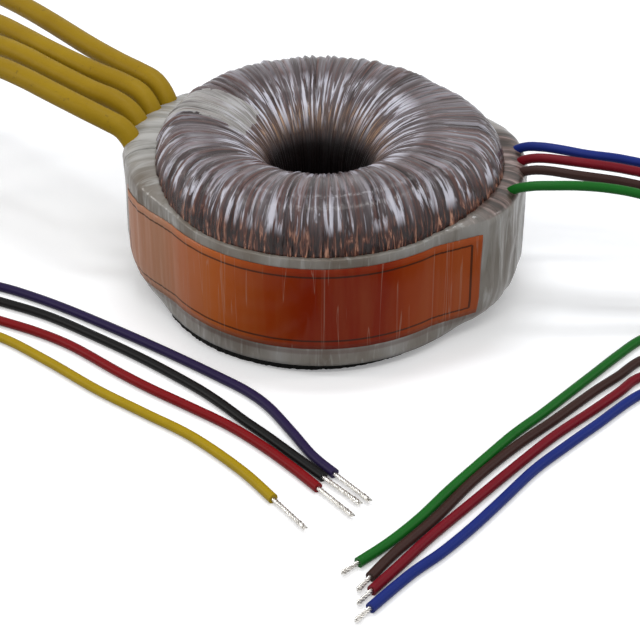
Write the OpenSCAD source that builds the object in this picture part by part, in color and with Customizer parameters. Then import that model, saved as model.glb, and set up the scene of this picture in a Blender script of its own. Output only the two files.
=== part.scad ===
// Toroidal mains transformer with flying leads, standing on its rubber pad.
// Lengths in millimetres. Z is the axis of the ring, and the pad's underside is z = 0.
// The primary leads leave towards -X in thick sleeves, the secondary leads towards +X.

/* [Core] */
// Outside diameter of the strip-wound steel ring
core_od = 80; // [74:0.5:84]
// Inside diameter of the steel ring
core_id = 44; // [42:0.5:50]
// Width of the steel strip, which is the height of the ring
core_h = 30; // [22:1:38]

/* [Windings] */
// Thickness of the insulating jacket on the core
core_jacket_t = 0.8; // [0.4:0.1:1.5]
// Build-up of the primary on the outside of the ring
primary_side_t = 4; // [2:0.25:6]
// Build-up of the primary inside the throat
primary_throat_t = 3.7; // [2:0.1:4.5]
// Build-up of the primary on the upper and lower faces
primary_face_t = 4.8; // [3:0.2:6]
// Thickness of the film layers between primary and secondary
barrier_t = 0.5; // [0.2:0.1:1]
// Build-up of the secondary on the outside of the ring
secondary_side_t = 3.3; // [2:0.1:5]
// Build-up of the secondary inside the throat
secondary_throat_t = 3.2; // [2:0.1:4]
// Build-up of the secondary on the upper and lower faces
secondary_face_t = 4.9; // [3:0.1:6]

/* [Film wrap] */
// Thickness of the wound film under the pleats
film_t = 0.5; // [0.3:0.1:1]
// Number of radial pleats around the ring
pleats = 92; // [48:4:110]
// Height of a full pleat over the smooth film
pleat_h = 1.1; // [0.4:0.1:1.6]
// Angle by which the pleats lean between the rim and the throat
pleat_lean = 5; // [0:1:10]

/* [Side band] */
// Thickness of the milky tape around the side
band_t = 0.6; // [0.4:0.1:1]
// Height of the upper edge of the tape over the foot of the ring
band_h = 37.5; // [30:0.5:40]
// How far the tape bulges out over the primary leads
primary_bulge = 8.8; // [8.6:0.2:12]
// How far the tape bulges out over the secondary leads
secondary_bulge = 11.4; // [9:0.2:13]

/* [Label] */
// Height of the orange label
label_h = 27.5; // [18:0.5:29]
// Turn angle that the label covers
label_turn = 145; // [60:5:150]
// Thickness of the label
label_t = 0.2; // [0.1:0.05:0.3]

/* [Leads] */
// Diameter of the insulated leads
lead_d = 2.9; // [2:0.1:3]
// Diameter of the bare strands
strand_d = 1.3; // [0.8:0.1:1.5]
// Outside diameter of the sleeves on the primary leads
sleeve_d = 6.6; // [6:0.1:7]
// Bore of the sleeves
sleeve_bore = 3.6; // [3.4:0.1:4.4]
// Thickness of the insulating boards behind the leads
board_t = 1; // [0.5:0.1:1.2]

/* [Rubber pad] */
// Diameter of the pad under the ring
pad_d = 96; // [86:1:98]
// Thickness of the pad
pad_t = 3; // [2:0.5:5]
// Diameter of the fixing hole in the pad
bolt_d = 9; // [5:0.5:12]
// How far the cut outline of the pad lies off its hole
pad_offset = -1.8; // [-2:0.2:2]
// Depth of the nicks in the cut edge
pad_nick = 0.5; // [0:0.1:1]

/* [Hidden] */
$fn = 96;

fit = 0.3;                      // clearance between soft or curved neighbours
foot = pad_t + film_t;          // underside of the secondary winding
strip_t = 0.35;                 // thickness of the strip under the top film
throat_r = core_id / 2 - core_jacket_t - primary_throat_t - barrier_t - secondary_throat_t;
core_z = foot + secondary_face_t + barrier_t + primary_face_t + core_jacket_t;
wound_r = core_od / 2 + core_jacket_t + primary_side_t + barrier_t + secondary_side_t;
wound_top = 2 * (core_z - foot) + core_h + foot;
film_gap = fit + strip_t;       // room for the strip over the winding
film_r = wound_r + film_gap + film_t;
film_in = throat_r - fit - film_t;
film_top = wound_top + film_gap + film_t;
crown_w = 10;                   // width and height of the rounded outer crown
crown_h = 16;
lip_w = 16;                     // width and height of the rounded lip at the throat
lip_h = 18;
foot_r = 4;                     // rounding at the lower corners

// Closed outline of a wound ring: [outer radius, inner radius, bottom, top] and the share
// of the crown's rounding that the layer has.
function quarter(cx, cz, w, h, from, n) =
    [for (i = [0:n]) let (t = from + 90 * i / n) [cx + w * cos(t), cz + h * sin(t)]];
function ring_outline(ro, ri, zb, zt, share, n = 6) = concat(
    quarter(ro - crown_w * share, zt - crown_h * share, crown_w * share, crown_h * share, 0, n),
    quarter(ri + lip_w * share, zt - lip_h * share, lip_w * share, lip_h * share, 90, n),
    quarter(ri + foot_r * share, zb + foot_r * share, foot_r * share, foot_r * share, 180, 3),
    quarter(ro - foot_r * share, zb + foot_r * share, foot_r * share, foot_r * share, 270, 3));

// A layer between two outlines, each [outer radius, inner radius, bottom, top, share]
jacket_skin = [core_od / 2 + core_jacket_t, core_id / 2 - core_jacket_t,
    core_z - core_jacket_t, core_z + core_h + core_jacket_t, 0.08];
primary_skin = grown(jacket_skin, primary_side_t, primary_throat_t, primary_face_t, 0.55);
barrier_skin = grown(primary_skin, barrier_t, barrier_t, barrier_t, 0.6);
secondary_skin = grown(barrier_skin, secondary_side_t, secondary_throat_t, secondary_face_t, 1);
function grown(s, side, throat, face, share) =
    [s[0] + side, s[1] - throat, s[2] - face, s[3] + face, share];
module skin_solid(s) { rotate_extrude() polygon(ring_outline(s[0], s[1], s[2], s[3], s[4])); }
module layer(outer, inner) {
    rotate_extrude() difference() {
        polygon(ring_outline(outer[0], outer[1], outer[2], outer[3], outer[4]));
        polygon(ring_outline(inner[0], inner[1], inner[2], inner[3], inner[4]));
    }
}

module steel_core() {
    color([0.45, 0.46, 0.48]) translate([0, 0, core_z]) difference() {
        cylinder(d = core_od, h = core_h);
        translate([0, 0, -1]) cylinder(d = core_id, h = core_h + 2);
    }
}

module core_jacket() {
    color([0.85, 0.82, 0.7]) translate([0, 0, core_z]) difference() {
        rotate_extrude() polygon([for (p = ring_outline(jacket_skin[0], jacket_skin[1],
            -core_jacket_t, core_h + core_jacket_t, jacket_skin[4])) p]);
        difference() {
            cylinder(d = core_od, h = core_h);
            translate([0, 0, -1]) cylinder(d = core_id, h = core_h + 2);
        }
    }
}

module primary_winding() { color([0.72, 0.38, 0.22]) layer(primary_skin, jacket_skin); }
module barrier_film() { color([0.9, 0.85, 0.6]) layer(barrier_skin, primary_skin); }
module secondary_winding() { color([0.6, 0.32, 0.2]) layer(secondary_skin, barrier_skin); }

// White insulating strip over the winding, from the primary exits to the throat
exit_turn = 161;                // turn angle of the middle of the primary exits
strip_w = 15;
strip_in = throat_r + 5;        // where the strip starts over the lip of the throat
module exit_strip() {
    color([0.88, 0.88, 0.84]) intersection() {
        rotate_extrude() difference() {
            polygon(ring_outline(wound_r + strip_t, throat_r + 2, foot, wound_top + strip_t, 1));
            polygon(ring_outline(wound_r, throat_r, foot, wound_top, 1));
        }
        rotate(exit_turn) translate([strip_in, -strip_w / 2, wound_top - crown_h * 0.9])
            cube([wound_r, strip_w, crown_h]);
    }
}

// The wound film: rows of the section, each [radius, height, outward r, outward z, pleat share]
function ellipse_row(cx, cz, w, h, t, share) =
    let (n = [cos(t) / w, sin(t) / h], u = n / norm(n))
    [cx + w * cos(t), cz + h * sin(t), u[0], u[1], share];
film_rows = concat(
    [for (t = [0, 26, 52, 90]) ellipse_row(film_r - crown_w, film_top - crown_h, crown_w,
        crown_h, t, t == 0 ? 0.25 : 1)],
    [for (t = [90, 112, 134, 156, 180]) ellipse_row(film_in + lip_w, film_top - lip_h, lip_w,
        lip_h, t, t < 120 ? 1 : t < 150 ? 0.7 : 0.35)],
    [for (t = [180, 225, 270]) ellipse_row(film_in + foot_r, pad_t + foot_r, foot_r, foot_r, t, 0)],
    [for (t = [270, 315, 360]) ellipse_row(film_r - foot_r, pad_t + foot_r, foot_r, foot_r, t, 0)]);

// Pleats of uneven width: each gives a valley and a crest, as [turn angle, height]
pleat_widths = [for (w = rands(0.6, 1.4, pleats, 11)) w];
pleat_heights = rands(0.35, 1, pleats, 5);
function sum_to(v, k) = k <= 0 ? 0 : v[k - 1] + sum_to(v, k - 1);
width_sum = sum_to(pleat_widths, pleats);
film_columns = [for (i = [0:pleats - 1]) let (a = 360 * sum_to(pleat_widths, i) / width_sum,
    w = 360 * pleat_widths[i] / width_sum) each [[a, 0], [a + 0.66 * w, pleat_heights[i]]]];

// Grid of points around the ring, closed both ways
function grid_faces(columns, rows) = [for (i = [0:columns - 1], j = [0:rows - 1])
    let (i2 = (i + 1) % columns, j2 = (j + 1) % rows,
        a = i * rows + j, b = i2 * rows + j, c = i2 * rows + j2, d = i * rows + j2)
    each [[a, c, b], [a, d, c]]];
function lean(r) = pleat_lean * pow((film_r - r) / (film_r - film_in), 2);
module film_wrap() {
    rows = len(film_rows);
    points = [for (c = film_columns, s = film_rows)
        let (lift = pleat_h * s[4] * c[1], r = s[0] + s[2] * lift, a = c[0] + lean(s[0]))
        [r * cos(a), r * sin(a), s[1] + s[3] * lift]];
    color([0.62, 0.58, 0.58]) difference() {
        polyhedron(points, grid_faces(len(film_columns), rows));
        rotate_extrude($fn = 360) polygon(ring_outline(film_r - film_t, film_in + film_t,
            foot, film_top - film_t, 0.98));
    }
}

// Milky tape around the side: its inner face, at a turn angle and a share of its height
primary_turn = 163;             // turn angles of the middle of the bulges
primary_span = 42;              // half the turn angle that each bulge covers
secondary_span = 40;
secondary_turn = -3;
function hump(a, middle, span) =
    let (d = abs(((a - middle + 540) % 360) - 180)) d < span ? pow(cos(90 * d / span), 0.5) : 0;
puff_level = 0.3;               // share of the height by which the pockets are full
function puff(v) = lookup(v, [[0, 0], [0.06, 0.6], [puff_level, 1], [1, 1]]);
band_r = film_r + pleat_h * 0.25 + fit;
function crease(a) = 0.6 * sin(a * 9);
function band_face(a, v) = band_r
    + hump(a, primary_turn, primary_span) * primary_bulge * puff(v)
    + hump(a, secondary_turn, secondary_span) * secondary_bulge * puff(v)
    + max(hump(a, primary_turn, primary_span), hump(a, secondary_turn, secondary_span))
        * crease(a);
band_step = 5;
band_levels = [0, 0.06, puff_level, 0.65, 1];
band_turns = [for (a = [0:band_step:359]) a];
function wall_point(r, a, z) = [r * cos(a), r * sin(a), z];
module wall(turns, levels, z0, height, inset, thick, closed) {
    n = len(turns);
    m = len(levels);
    points = [for (a = turns) each concat(
        [for (v = levels) wall_point(band_face(a, v) + inset + thick, a, z0 + v * height)],
        [for (k = [m - 1:-1:0])
            wall_point(band_face(a, levels[k]) + inset, a, z0 + levels[k] * height)])];
    sides = [for (i = [0:closed ? n - 1 : n - 2], j = [0:2 * m - 1])
        let (i2 = (i + 1) % n, j2 = (j + 1) % (2 * m))
        each [[i * 2 * m + j, i2 * 2 * m + j2, i2 * 2 * m + j],
            [i * 2 * m + j, i * 2 * m + j2, i2 * 2 * m + j2]]];
    ends = closed ? [] : [[for (j = [2 * m - 1:-1:0]) j],
        [for (j = [0:2 * m - 1]) (n - 1) * 2 * m + j]];
    polyhedron(points, concat(sides, ends));
}
band_z = pad_t + 0.8;           // lower edge of the tape
module side_band() {
    color([0.7, 0.68, 0.62]) wall(band_turns, band_levels, band_z, band_h, 0, band_t, true);
}
label_start = 180;
label_rise = 6.2;               // height of the label's lower edge over the tape's
label_gap = 0.1;                // glue between the tape and the label
module label() {
    turns = [for (a = [0:band_step:label_turn]) label_start + a];
    v0 = label_rise / band_h;
    v1 = v0 + label_h / band_h;
    color([0.85, 0.35, 0.1]) wall(turns, [v0, puff_level, v1], band_z, band_h,
        band_t + label_gap, label_t, false);
}

// Boards between the wrapped ring and the leads
board_in = band_r;
board_h = 30;
board_z = pad_t + 2;
primary_board_turn = 44;        // turn angle that each board covers
secondary_board_turn = 36;
secondary_board_off = -1;       // turn of its middle from the middle of the bulge
module board(middle, turn) {
    rotate(middle - turn / 2) translate([0, 0, board_z]) rotate_extrude(angle = turn)
        translate([board_in, 0]) square([board_t, board_h]);
}
module primary_board() { color([0.8, 0.75, 0.6]) board(exit_turn, primary_board_turn); }
module secondary_board() {
    color([0.8, 0.75, 0.6]) board(secondary_turn + secondary_board_off, secondary_board_turn);
}

// Soldered joints at the inner ends of the leads: a barrel under each lead, at the turn
// angle of the lead and clear of the board by the lead or its sleeve
joint_h = 6;
joint_d = strand_d * 1.6;
lead_gap = 0.45;
primary_joint_r = board_in + board_t + sleeve_d / 2 + lead_gap;
secondary_joint_r = board_in + board_t + lead_d / 2 + 1.6 * lead_gap;
module joint(route, r) {
    p = route[0];
    rotate(atan2(p[1], p[0])) translate([r, 0, p[2] - joint_h])
        cylinder(d = joint_d, h = joint_h, $fn = 24);
}
module primary_joints() {
    color([0.75, 0.75, 0.72]) for (p = primary_routes) joint(p, primary_joint_r);
}
module secondary_joints() {
    color([0.75, 0.75, 0.72]) for (p = secondary_routes) joint(p, secondary_joint_r);
}

// Rubber pad with a rough cut edge and the fixing hole on the axis
module rubber_pad() {
    color([0.08, 0.08, 0.09]) difference() {
        translate([pad_offset, 0]) linear_extrude(pad_t) polygon([for (a = [0:4:359])
            (pad_d / 2 - pad_nick * abs(sin(a * 11) * sin(a * 5))) * [cos(a), sin(a)]]);
        translate([0, 0, -1]) cylinder(d = bolt_d, h = pad_t + 2);
    }
}

// A tube swept along a route: a smooth curve through the points, with rings across it
function curve_at(p, i, t) =
    let (n = len(p) - 1, a = p[max(i - 1, 0)], b = p[i], c = p[i + 1], d = p[min(i + 2, n)])
    0.5 * (2 * b + (c - a) * t + (2 * a - 5 * b + 4 * c - d) * t * t
        + (3 * b - a - 3 * c + d) * t * t * t);
function on_floor(p) = [p[0], p[1], max(p[2], lead_d / 2)];
function smooth_route(p, pitch) = concat([for (i = [0:len(p) - 2])
    let (k = max(1, round(norm(p[i + 1] - p[i]) / pitch)))
    for (j = [0:k - 1]) on_floor(curve_at(p, i, j / k))], [p[len(p) - 1]]);
function unit(v) = v / norm(v);
function tangent(p, i) = unit(p[min(i + 1, len(p) - 1)] - p[max(i - 1, 0)]);
function across(v, t) = unit(v - (v * t) * t);
function frames(p, i = 0, v = [0.3, 1, 0.1]) = i == len(p) ? []
    : let (u = across(v, tangent(p, i))) concat([u], frames(p, i + 1, u));
function ring_points(c, t, u, r, sides) = [for (k = [0:sides - 1])
    c + r * (cos(360 * k / sides) * u + sin(360 * k / sides) * cross(t, u))];
function tube_rings(p, r, sides) = let (f = frames(p))
    [for (i = [0:len(p) - 1]) each ring_points(p[i], tangent(p, i), f[i], r, sides)];
function tube_sides(n, sides, at, out) = [for (i = [0:n - 2], k = [0:sides - 1])
    let (k2 = (k + 1) % sides, a = at + i * sides + k, b = at + i * sides + k2)
    each out ? [[a, b + sides, b], [a, a + sides, b + sides]]
        : [[a, b, b + sides], [a, b + sides, a + sides]]];
module cord(route, d, pitch) {
    sides = 8;
    p = smooth_route(route, pitch);
    n = len(p);
    polyhedron(tube_rings(p, d / 2, sides), concat(tube_sides(n, sides, 0, true),
        [[for (k = [0:sides - 1]) k], [for (k = [sides - 1:-1:0]) (n - 1) * sides + k]]));
}
module sleeve(route, d, bore, pitch) {
    sides = 10;
    p = smooth_route(route, pitch);
    n = len(p);
    m = n * sides;
    rim = [for (k = [0:sides - 1]) let (k2 = (k + 1) % sides, e = (n - 1) * sides)
        each [[k, k2, m + k2], [k, m + k2, m + k],
            [e + k, m + e + k2, e + k2], [e + k, m + e + k, m + e + k2]]];
    polyhedron(concat(tube_rings(p, d / 2, sides), tube_rings(p, bore / 2, sides)),
        concat(tube_sides(n, sides, 0, true), tube_sides(n, sides, m, false), rim));
}

// Routes of the leads, from the joint in the pocket to the end of the insulation. A lead
// lies on the same surface as the pad.
// Primary: up out of the pocket, over in a short arc, down outside and back along the floor
violet_route = [[-54.7, 6.2, 14], [-54.7, 6.2, 20], [-54.7, 6.2, 28], [-54.8, 6.3, 36],
    [-55.9, 7.2, 43], [-59.6, 9.4, 48.4], [-64.8, 11, 51], [-70.5, 13.2, 53], [-82.5, 21.5, 55],
    [-92, 29, 56], [-102, 37, 56], [-113, 44.5, 54.5], [-124, 49.5, 50.5], [-134, 50, 43],
    [-140, 46, 32.5], [-143, 38, 21.5], [-142.5, 28, 11.5], [-138.5, 17.5, 4.5],
    [-130.5, 8, 1.45], [-117, -0.5, 1.45], [-100, -6, 1.45], [-88, -12, 1.45],
    [-76.5, -19, 1.45], [-64, -27.5, 1.45], [-52, -36, 1.45], [-40.5, -44.5, 1.45],
    [-29.5, -53, 1.45], [-21, -60, 1.45], [-14.5, -67.5, 1.45], [-8, -78.5, 1.45],
    [-1.9, -89.5, 1.45], [4, -97, 1.45]];
black_route = [[-53.2, 14.3, 14], [-53.2, 14.3, 20], [-53.2, 14.3, 28], [-53.3, 14.3, 36],
    [-54.2, 15.4, 43], [-57.6, 18.2, 49], [-63.2, 21.4, 52], [-71.2, 26, 53.2],
    [-84.5, 36, 55], [-93, 43, 56], [-103, 51, 56], [-114, 58, 55], [-126, 64, 51],
    [-137, 66.5, 43.5], [-145, 63.5, 33], [-149.5, 55.5, 22], [-151, 45.5, 12.5],
    [-149.5, 34, 5.5], [-145, 22.5, 1.8], [-136.5, 9.5, 1.45], [-121, -4, 1.45],
    [-99, -14, 1.45], [-83, -22, 1.45], [-67, -33, 1.45], [-51.5, -44.7, 1.45],
    [-36.5, -57.5, 1.45], [-28.5, -65.5, 1.45], [-21.5, -73.5, 1.45], [-14.5, -81, 1.45],
    [-7, -89.5, 1.45], [1, -98.5, 1.45]];
red_route = [[-50.5, 22, 14], [-50.5, 22, 20], [-50.5, 22, 28], [-50.6, 22.1, 37],
    [-51.6, 23.4, 45], [-55.4, 27.4, 50.6], [-62, 32, 52.5], [-72.2, 37.8, 54],
    [-86, 48, 55.6], [-95.5, 57, 56], [-106, 67, 56], [-117, 76, 54.5], [-128.5, 82.5, 50],
    [-139.5, 85.5, 42.5], [-148, 83.5, 32.5], [-153.5, 76, 22.5], [-156.5, 65, 13.5],
    [-157, 52, 6.5], [-155.5, 38.5, 2.2], [-151, 23.5, 1.45], [-142.5, 8.5, 1.45],
    [-130.5, -4, 1.45], [-115, -15.5, 1.45], [-97, -24.5, 1.45], [-85, -30.5, 1.45],
    [-73.5, -38, 1.45], [-58.5, -51, 1.45], [-48.5, -59, 1.45], [-37.5, -67, 1.45],
    [-25.5, -76, 1.45], [-15.5, -85.5, 1.45], [-7, -95, 1.45], [-0.5, -103, 1.45]];
yellow_route = [[-46.7, 29.2, 14], [-46.7, 29.2, 20], [-46.7, 29.2, 28], [-46.8, 29.3, 38],
    [-47.8, 30.6, 46.4], [-51.6, 34.8, 51.2], [-57, 39.2, 52.4], [-64, 45, 53],
    [-74, 54.2, 54], [-88, 68.5, 55.5], [-98, 79, 56], [-109, 90, 56], [-120, 99, 54.5],
    [-132, 105, 50], [-143, 107, 42.5], [-152, 104, 33], [-158, 96, 23.5], [-162, 84.5, 15],
    [-164, 70.5, 8], [-164.5, 55, 3], [-163, 39, 1.45], [-158.5, 22, 1.45], [-150.5, 6, 1.45],
    [-140, -8, 1.45], [-126.5, -19, 1.45], [-111, -27, 1.45], [-96, -33, 1.45],
    [-80.5, -45, 1.45], [-64.5, -59, 1.45], [-50, -70, 1.45], [-35.5, -81, 1.45],
    [-21.5, -95.5, 1.45], [-12.5, -107.5, 1.45]];
// Secondary
blue_route = [[53.2, 5.6, 14], [53.2, 5.6, 22], [53.5, 5.5, 30], [55, 5.1, 37],
    [57.4, 4.4, 42.6], [61.2, 3, 46], [66, 1.4, 47.1], [72, -0.6, 47.3], [80, -2.4, 46.6],
    [91, -2.6, 45], [103, -3.4, 42], [115, -6, 36.5], [126, -11, 28], [134, -18, 18.5],
    [138.5, -27, 9.5], [138.5, -37, 3.5], [134, -46, 1.45], [125, -52, 1.45],
    [113, -55.5, 1.45], [102, -58, 1.45], [92, -61.5, 1.45], [77.3, -76, 1.45],
    [67.8, -85.5, 1.45], [58.3, -95.5, 1.45], [48.8, -107.8, 1.45], [40, -119, 1.45],
    [31.5, -128.7, 1.45], [23, -137, 1.45], [12.5, -149.3, 1.45]];
crimson_route = [[53.5, -0.6, 14], [53.5, -0.6, 22], [54.3, -0.7, 31], [56.6, -0.9, 38],
    [59.6, -1.5, 43.2], [63.5, -2.7, 45.4], [68.5, -4, 46.1], [77, -6, 46],
    [90.5, -7.2, 44.4], [102, -8.5, 42], [114.5, -11, 37.5], [125, -15, 30],
    [131, -21, 20.5], [132, -29, 11.5], [128, -37.5, 5], [120, -44, 1.8], [108, -48, 1.45],
    [93.5, -53, 1.45], [86, -60.5, 1.45], [78, -68.5, 1.45], [65, -81, 1.45],
    [53, -94.5, 1.45], [41, -108.5, 1.45], [29, -122.5, 1.45], [20.5, -133.5, 1.45],
    [13, -143, 1.45]];
brown_route = [[53, -7.4, 14], [53, -7.4, 22], [53.8, -7.1, 31], [55.8, -6.4, 38],
    [58.9, -6.2, 42], [63, -6.9, 43.8], [68, -8, 44.3], [76.5, -9.8, 43.8], [90, -10.6, 42],
    [101, -11.5, 39.3], [113, -14, 34], [121.5, -18, 26], [124.5, -23.5, 17],
    [122.5, -30, 8.5], [116, -35.5, 3], [106, -39.5, 1.45], [94.5, -45, 1.45],
    [87, -52.5, 1.45], [79, -60, 1.45], [66, -73.5, 1.45], [54, -85.5, 1.45],
    [41.5, -100, 1.45], [30, -116, 1.45], [19, -129.3, 1.45], [12.8, -138, 1.45]];
green_route = [[51.2, -15.6, 14], [51.2, -15.6, 22], [51.7, -15.7, 31], [53, -16.4, 38.6],
    [56.4, -17.8, 43.4], [61.5, -19.2, 45.6], [68, -20, 46.3], [76, -19.6, 46],
    [84.5, -19.3, 45], [94, -19.4, 43], [104, -20.5, 39.5], [112.5, -22.5, 33],
    [117, -25, 24], [116.5, -27, 14.5], [111.5, -28.5, 7], [104.5, -30.5, 2.8],
    [96, -34.5, 1.45], [88, -42.5, 1.45], [80, -51.5, 1.45], [71.5, -61, 1.45],
    [63, -70.5, 1.45], [54, -80, 1.45], [45, -91, 1.45], [35, -103.6, 1.45],
    [26.3, -115.4, 1.45], [18, -124.9, 1.45], [9.8, -132.6, 1.45]];
primary_routes = [violet_route, black_route, red_route, yellow_route];
secondary_routes = [blue_route, crimson_route, brown_route, green_route];

// A sleeve covers the stretch of its lead from the pocket to this many route points
sleeve_points = 12;
function sleeved(route) = [for (i = [1:sleeve_points - 1]) route[i]];
ring_pitch = 3 * lead_d;        // distance between rings along a lead
sleeve_pitch = 3 * sleeve_d;

module primary_sleeve(route) {
    color([0.8, 0.62, 0.08]) sleeve(sleeved(route), sleeve_d, sleeve_bore, sleeve_pitch);
}
module sleeve_violet() { primary_sleeve(violet_route); }
module sleeve_black() { primary_sleeve(black_route); }
module sleeve_red() { primary_sleeve(red_route); }
module sleeve_yellow() { primary_sleeve(yellow_route); }

module lead_violet() { color([0.2, 0.14, 0.4]) cord(violet_route, lead_d, ring_pitch); }
module lead_black() { color([0.1, 0.1, 0.1]) cord(black_route, lead_d, ring_pitch); }
module lead_red() { color([0.75, 0.1, 0.15]) cord(red_route, lead_d, ring_pitch); }
module lead_yellow() { color([0.9, 0.75, 0.05]) cord(yellow_route, lead_d, ring_pitch); }
module lead_blue() { color([0.12, 0.25, 0.65]) cord(blue_route, lead_d, ring_pitch); }
module lead_crimson() { color([0.65, 0.08, 0.16]) cord(crimson_route, lead_d, ring_pitch); }
module lead_brown() { color([0.3, 0.18, 0.16]) cord(brown_route, lead_d, ring_pitch); }
module lead_green() { color([0.1, 0.5, 0.15]) cord(green_route, lead_d, ring_pitch); }

// Bare ends: tinned strands in line with the last stretch of the lead
primary_strip_l = 15;
secondary_strip_l = 6;
module bare_end(route, length) {
    n = len(route) - 1;
    t = unit(route[n] - route[n - 1]);
    color([0.8, 0.8, 0.78]) translate(route[n] + 0.05 * t)
        rotate([0, 90, atan2(t[1], t[0])]) cylinder(d = strand_d, h = length, $fn = 24);
}
module end_violet() { bare_end(violet_route, primary_strip_l); }
module end_black() { bare_end(black_route, primary_strip_l); }
module end_red() { bare_end(red_route, primary_strip_l); }
module end_yellow() { bare_end(yellow_route, primary_strip_l); }
module end_blue() { bare_end(blue_route, secondary_strip_l); }
module end_crimson() { bare_end(crimson_route, secondary_strip_l); }
module end_brown() { bare_end(brown_route, secondary_strip_l); }
module end_green() { bare_end(green_route, secondary_strip_l); }

steel_core();
core_jacket();
primary_winding();
barrier_film();
secondary_winding();
exit_strip();
film_wrap();
side_band();
label();
primary_board();
secondary_board();
primary_joints();
secondary_joints();
rubber_pad();
sleeve_violet();
sleeve_black();
sleeve_red();
sleeve_yellow();
lead_violet();
lead_black();
lead_red();
lead_yellow();
lead_blue();
lead_crimson();
lead_brown();
lead_green();
end_violet();
end_black();
end_red();
end_yellow();
end_blue();
end_crimson();
end_brown();
end_green();
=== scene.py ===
import bpy, bmesh, math, random
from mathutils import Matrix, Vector, noise


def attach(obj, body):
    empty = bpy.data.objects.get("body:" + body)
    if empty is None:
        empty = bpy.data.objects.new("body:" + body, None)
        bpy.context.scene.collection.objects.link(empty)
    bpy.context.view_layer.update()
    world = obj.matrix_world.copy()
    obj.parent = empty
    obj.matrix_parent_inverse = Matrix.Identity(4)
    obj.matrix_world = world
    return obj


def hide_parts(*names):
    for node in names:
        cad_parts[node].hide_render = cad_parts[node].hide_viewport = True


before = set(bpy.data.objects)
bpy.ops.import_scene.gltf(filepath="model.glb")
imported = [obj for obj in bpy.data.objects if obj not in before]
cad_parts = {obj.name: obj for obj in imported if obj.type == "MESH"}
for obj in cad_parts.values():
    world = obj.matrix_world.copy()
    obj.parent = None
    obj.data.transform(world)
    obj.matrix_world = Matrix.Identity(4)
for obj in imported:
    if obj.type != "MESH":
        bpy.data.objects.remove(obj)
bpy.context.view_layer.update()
mm = 0.001
scene = bpy.context.scene
scene.view_settings.view_transform = "Standard"
print("frame loaded,", len(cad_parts), "nodes")

# camera
camera = {"distance": 600, "elevation": 35, "aimHeight": -15.5, "lens": 105.75}


def addCamera(view):
    data = bpy.data.cameras.new("camera")
    data.lens = view["lens"]
    data.sensor_width = 36
    data.clip_start = 0.01
    cam = bpy.data.objects.new("camera", data)
    tilt = math.radians(view["elevation"])
    back, up = view["distance"] * math.cos(tilt), view["distance"] * math.sin(tilt)
    cam.location = Vector((0, -back, view["aimHeight"] + up)) * mm
    cam.rotation_euler = (math.pi / 2 - tilt, 0, 0)
    scene.collection.objects.link(cam)
    scene.camera = cam


addCamera(camera)

# helpers for meshes


def addObject(name, data):
    obj = bpy.data.objects.new(name, data)
    scene.collection.objects.link(obj)
    return obj


def meshObject(name, bm, smooth=True):
    mesh = bpy.data.meshes.new(name)
    bm.to_mesh(mesh)
    bm.free()
    for face in mesh.polygons:
        face.use_smooth = smooth
    return addObject(name, mesh)


def curveAt(p, i, t):  # smooth curve through listed points
    n = len(p) - 1
    a, b, c, d = p[max(i - 1, 0)], p[i], p[i + 1], p[min(i + 2, n)]
    return 0.5 * (2 * b + (c - a) * t + (2 * a - 5 * b + 4 * c - d) * t * t
                  + (3 * b - a - 3 * c + d) * t * t * t)


def smoothRoute(points, pitch):
    p = [Vector(q) for q in points]
    out = []
    for i in range(len(p) - 1):
        k = max(1, round((p[i + 1] - p[i]).length / pitch))
        out += [curveAt(p, i, j / k) for j in range(k)]
    for q in out:
        q.z = max(q.z, leads["diameter"] / 2)  # a lead lies on the floor
    return out + [p[-1]]


def solidified(obj, thickness):  # gives a sheet its wall, inwards
    wall = obj.modifiers.new("wall", "SOLIDIFY")
    wall.thickness = thickness * mm
    wall.offset = -1
    return obj


def curveAsMesh(obj):
    mesh = bpy.data.meshes.new_from_object(obj.evaluated_get(bpy.context.evaluated_depsgraph_get()))
    for face in mesh.polygons:
        face.use_smooth = True
    name = obj.name
    bpy.data.objects.remove(obj)
    return addObject(name, mesh)


def addTube(name, route, radius, resolution=4, capped=True):  # round curve along a dense route, in mm
    curve = bpy.data.curves.new(name, "CURVE")
    curve.dimensions = "3D"
    spline = curve.splines.new("POLY")
    spline.points.add(len(route) - 1)
    for point, q in zip(spline.points, route):
        point.co = (q.x * mm, q.y * mm, q.z * mm, 1)
    curve.bevel_depth = radius * mm
    curve.bevel_resolution = resolution
    curve.use_fill_caps = capped
    return addObject(name, curve)


# helpers for materials


def newMaterial(name, **sockets):
    mat = bpy.data.materials.new(name)
    mat.use_nodes = True
    shader = mat.node_tree.nodes["Principled BSDF"]
    for key, value in sockets.items():
        shader.inputs[key.replace("_", " ")].default_value = value
    return mat, mat.node_tree, shader


def addNode(tree, kind, settings=None, **sockets):
    node = tree.nodes.new("ShaderNode" + kind)
    for key, value in (settings or {}).items():
        setattr(node, key, value)
    for key, value in sockets.items():
        socket = node.inputs[key.replace("_", " ")]
        if isinstance(value, bpy.types.NodeSocket):
            tree.links.new(value, socket)
        else:
            socket.default_value = value
    return node


def ramp(tree, factor, *stops):
    node = addNode(tree, "ValToRGB", Fac=factor)
    items = node.color_ramp.elements
    while len(items) < len(stops):
        items.new(0.5)
    for item, (place, color) in zip(items, stops):
        item.position = place
        item.color = (*color, 1)
    return node.outputs["Color"]


def mask(tree, factor, *stops):  # grey ramp, from pairs of place and value
    return ramp(tree, factor, *((place, (value,) * 3) for place, value in stops))


def mixColor(tree, factor, a, b):
    node = addNode(tree, "Mix", {"data_type": "RGBA"})
    for index, value in ((0, factor), (6, a), (7, b)):
        if isinstance(value, bpy.types.NodeSocket):
            tree.links.new(value, node.inputs[index])
        else:
            node.inputs[index].default_value = value if index == 0 else (*value, 1)
    return node.outputs[2]


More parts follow.
